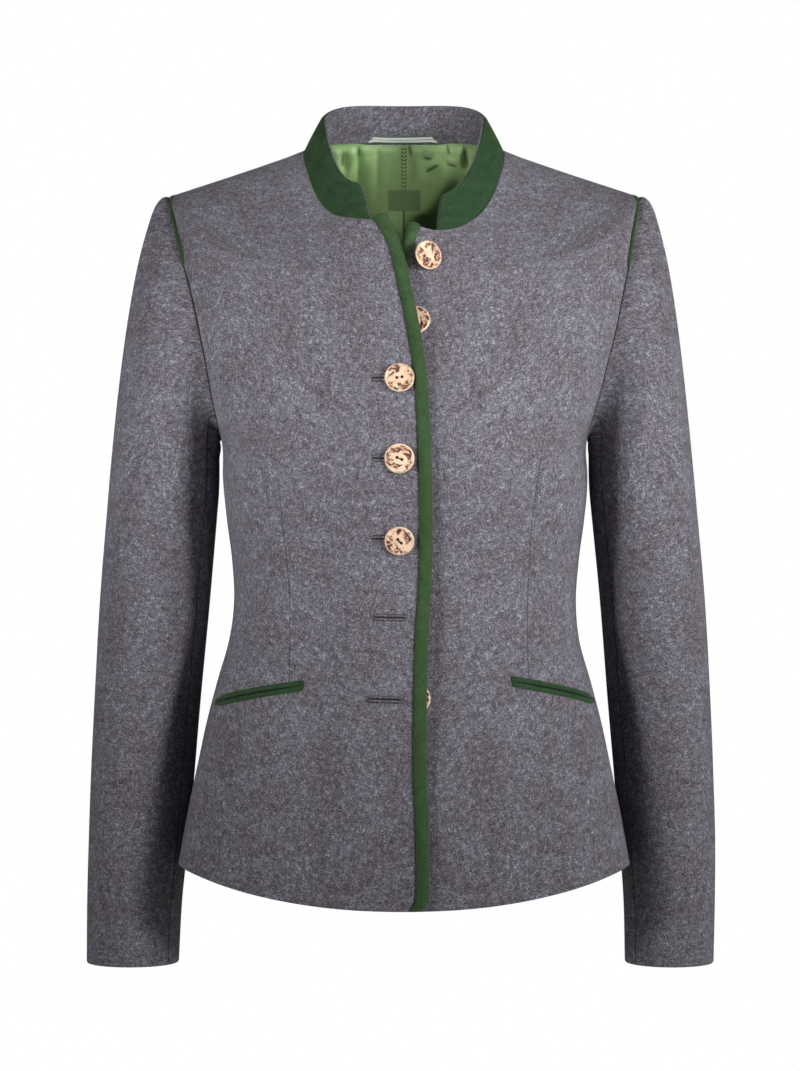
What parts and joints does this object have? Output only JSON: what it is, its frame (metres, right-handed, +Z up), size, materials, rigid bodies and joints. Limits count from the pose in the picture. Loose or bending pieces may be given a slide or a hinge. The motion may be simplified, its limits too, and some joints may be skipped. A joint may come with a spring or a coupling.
{
  "type": "tyrolean loden jacket",
  "caption": "Women's fitted loden jacket with stand collar, felt-bound front edge, slanted welt pockets, two-piece sleeves and horn buttons, filled out as if worn.",
  "frame": {"origin": "between the shoulders, at the height of the side neck points, where the wearer's shoulders hold the jacket", "axes": "+X to the wearer's left, -Y to the front, +Z up"},
  "size_m": [0.5145, 0.2648, 0.7053],
  "materials": {
    "loden": "boiled wool loden, heathered grey, short nap",
    "felt": "dark green wool felt",
    "satin": "green satin lining, soft sheen",
    "label": "woven ribbon, bare",
    "ribbon": "striped woven ribbon, pale with green",
    "horn": "stag horn, mottled brown relief in a pale ground"
  },
  "bodies": {
    "root": {"front_right": "loden", "front_left": "loden", "back_right": "loden", "back_left": "loden", "top_sleeve_right": "loden", "top_sleeve_left": "loden", "under_sleeve_right": "loden", "under_sleeve_left": "loden", "collar_inner": "loden", "buttonhole_1": "loden", "buttonhole_2": "loden", "buttonhole_3": "loden", "buttonhole_4": "loden", "buttonhole_5": "loden", "buttonhole_6": "loden", "buttonhole_7": "loden", "collar_outer": "felt", "binding_right": "felt", "binding_left": "felt", "piping_right": "felt", "piping_left": "felt", "welt_upper_right": "felt", "welt_lower_right": "felt", "welt_upper_left": "felt", "welt_lower_left": "felt", "lining_back_right": "satin", "lining_back_left": "satin", "neck_label": "label", "hanger_loop": "ribbon", "button_1": "horn", "button_2": "horn", "button_3": "horn", "button_4": "horn", "button_5": "horn", "button_6": "horn", "button_7": "horn"}
  },
  "joints": []
}
